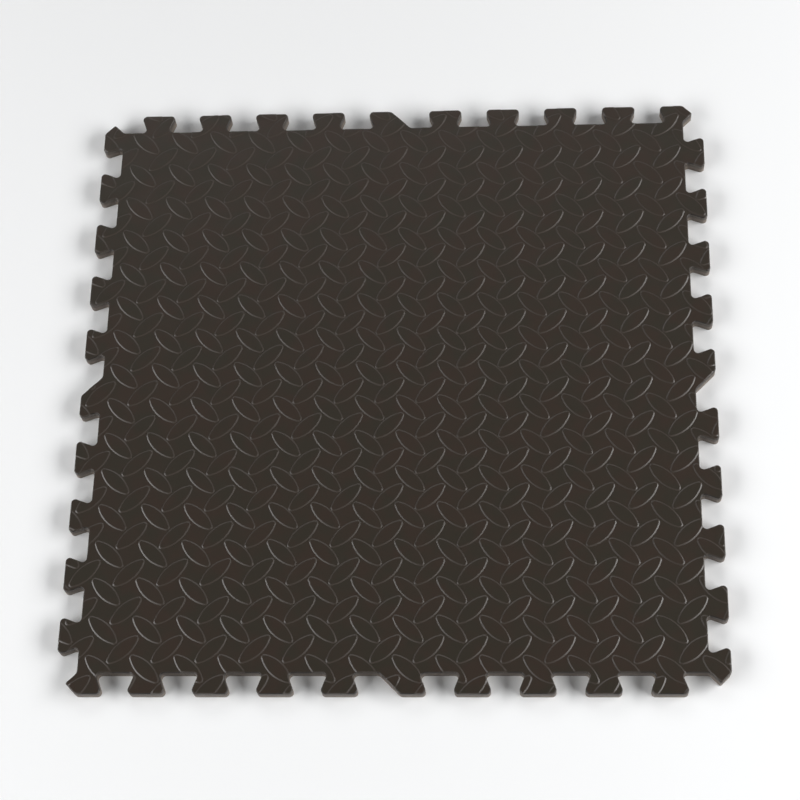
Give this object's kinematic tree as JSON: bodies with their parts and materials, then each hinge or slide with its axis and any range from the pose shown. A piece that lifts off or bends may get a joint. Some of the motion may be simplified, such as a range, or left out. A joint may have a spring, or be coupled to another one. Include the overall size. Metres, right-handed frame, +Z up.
{
  "type": "interlocking foam floor tile",
  "caption": "Square foam floor tile with dovetail puzzle edges on all sides and a raised leaf tread on top.",
  "frame": {"origin": "centre of the tile's underside, on the floor", "axes": "+Z up out of the walking face; X and Y square to the four mating edges"},
  "size_m": [0.6198, 0.6198, 0.0127],
  "materials": {
    "foam": "matt closed-cell foam with a leathery skin"
  },
  "bodies": {
    "root": {"foam_tile": "foam"}
  },
  "joints": []
}
